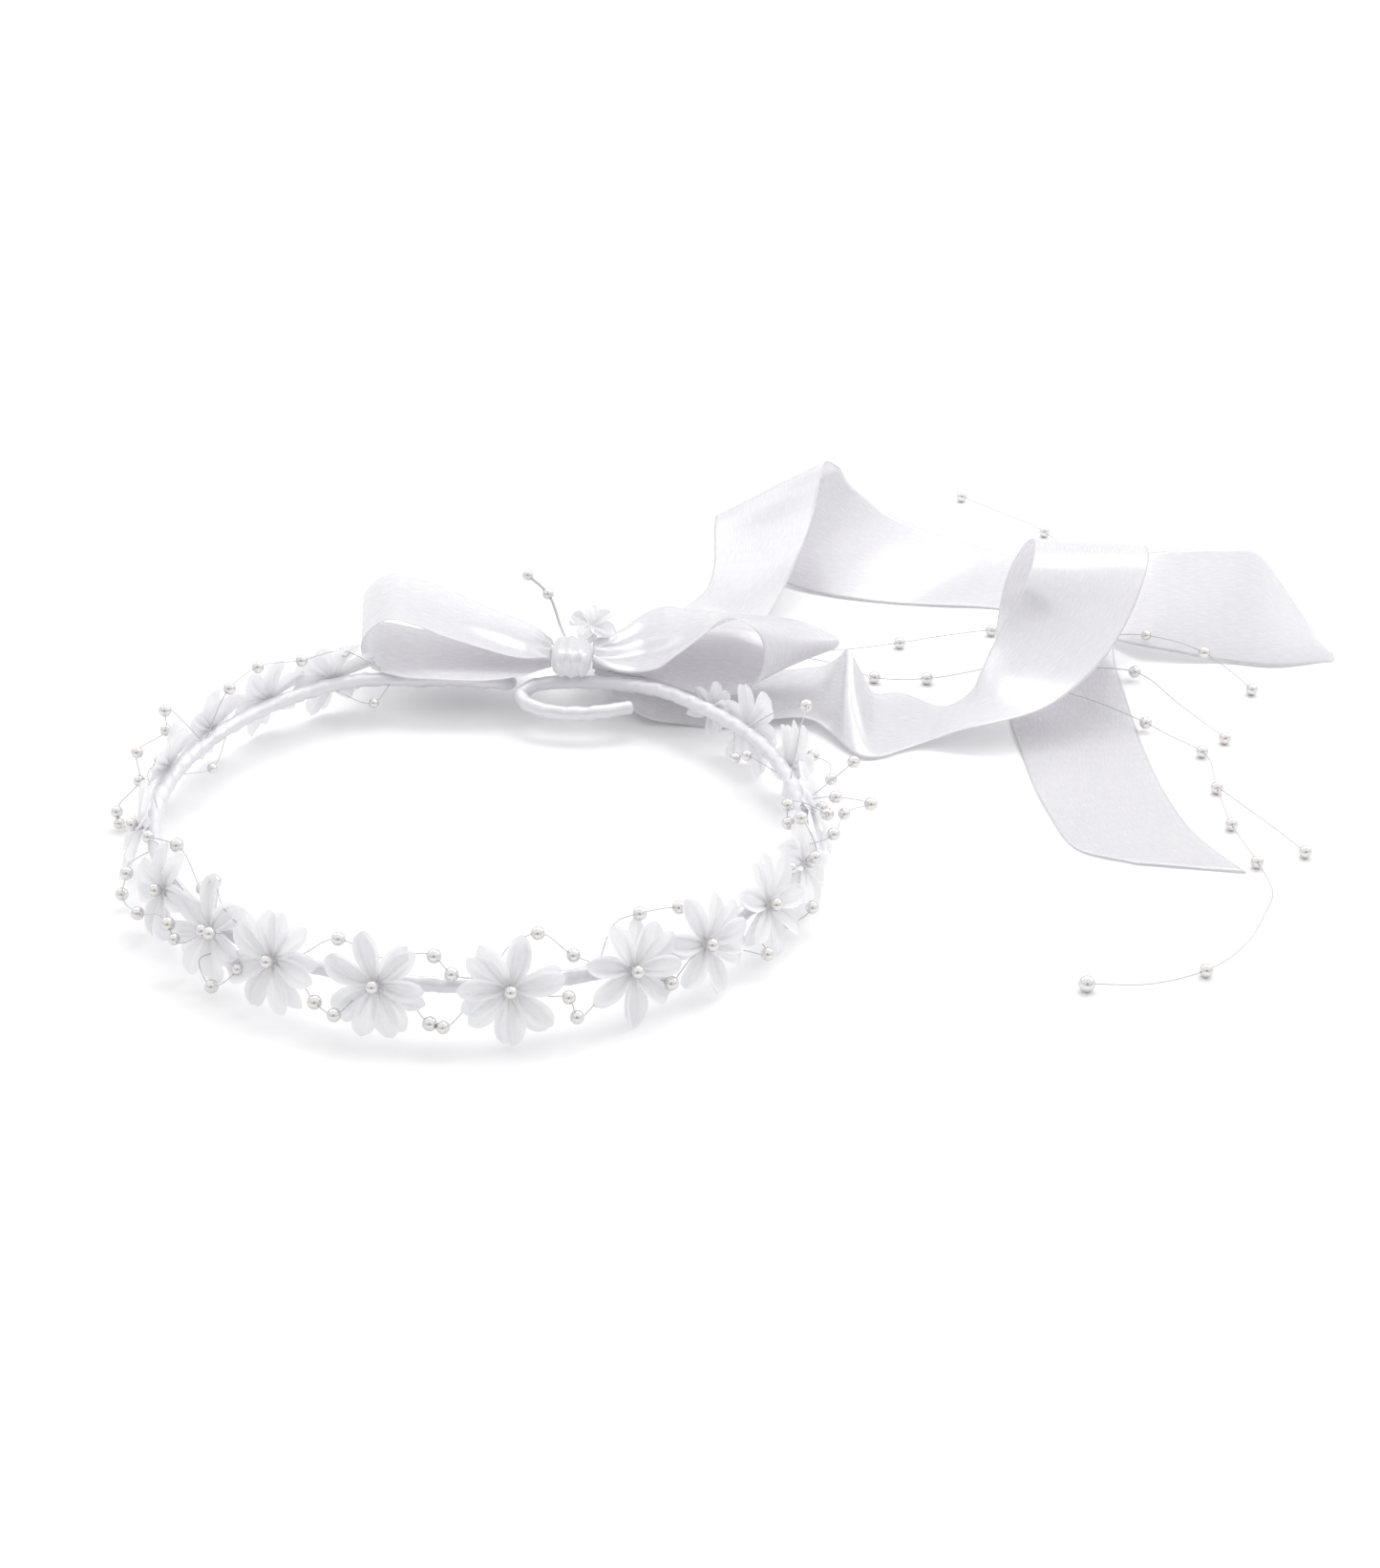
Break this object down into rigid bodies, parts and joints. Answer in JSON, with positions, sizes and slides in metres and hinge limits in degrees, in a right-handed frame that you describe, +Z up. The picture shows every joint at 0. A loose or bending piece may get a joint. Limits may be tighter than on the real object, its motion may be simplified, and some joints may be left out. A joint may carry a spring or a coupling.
{
  "type": "flower crown",
  "caption": "Wire hair crown wrapped in satin ribbon, set with fabric flowers and bead sprays, open at the back with a ribbon bow and long trailing tails.",
  "frame": {"origin": "centre of the hoop, on the surface that the crown lies on", "axes": "+Z up through the head opening, +Y toward the bow and the open back, +X toward the ribbon tails"},
  "size_m": [0.3794, 0.3709, 0.0446],
  "materials": {
    "satin_ribbon": "white satin ribbon with a soft sheen",
    "wrap_ribbon": "white satin ribbon wound in a tight spiral",
    "hoop_steel": "bright spring wire, hidden in the wrap",
    "petal_fabric": "thin white fabric petals, pressed with lengthwise ridges",
    "pearl_bead": "pearly bead",
    "beaded_thread": "clear thread strung with pearly beads"
  },
  "bodies": {
    "crown": {"bow_knot": "satin_ribbon", "bow_loop_left": "satin_ribbon", "bow_loop_right": "satin_ribbon", "floret_behind_knot": "petal_fabric", "floret_stem": "beaded_thread", "flower_01": "petal_fabric", "flower_02": "petal_fabric", "flower_03": "petal_fabric", "flower_04": "petal_fabric", "flower_05": "petal_fabric", "flower_06": "petal_fabric", "flower_07": "petal_fabric", "flower_08": "petal_fabric", "flower_09": "petal_fabric", "flower_10": "petal_fabric", "flower_11": "petal_fabric", "flower_12": "petal_fabric", "flower_13": "petal_fabric", "flower_14": "petal_fabric", "flower_15": "petal_fabric", "flower_16": "petal_fabric", "flower_17": "petal_fabric", "flower_18": "petal_fabric", "flower_bead_01": "pearl_bead", "flower_bead_02": "pearl_bead", "flower_bead_03": "pearl_bead", "flower_bead_04": "pearl_bead", "flower_bead_05": "pearl_bead", "flower_bead_06": "pearl_bead", "flower_bead_07": "pearl_bead", "flower_bead_08": "pearl_bead", "flower_bead_09": "pearl_bead", "flower_bead_10": "pearl_bead", "flower_bead_11": "pearl_bead", "flower_bead_12": "pearl_bead", "flower_bead_13": "pearl_bead", "flower_bead_14": "pearl_bead", "flower_bead_15": "pearl_bead", "flower_bead_16": "pearl_bead", "flower_bead_17": "pearl_bead", "flower_bead_18": "pearl_bead", "hoop_wire": "hoop_steel", "hoop_wrap": "wrap_ribbon", "spray_lower_front": "beaded_thread", "spray_lower_left": "beaded_thread", "spray_lower_right": "beaded_thread", "spray_upper_front": "beaded_thread", "spray_upper_left": "beaded_thread", "spray_upper_right": "beaded_thread", "twig_behind_knot": "beaded_thread"},
    "tails": {"ribbon_tail_back": "satin_ribbon", "ribbon_tail_front": "satin_ribbon", "trail_back": "beaded_thread", "trail_branch": "beaded_thread", "trail_far": "beaded_thread", "trail_front": "beaded_thread", "trail_middle": "beaded_thread"}
  },
  "joints": [
    {"name": "tails_hang", "type": "hinge", "parent": "crown", "child": "tails", "pos_m": [0.023, 0.093, 0.014], "axis": [0, 1, 0], "range_deg": [0, 90]}
  ]
}
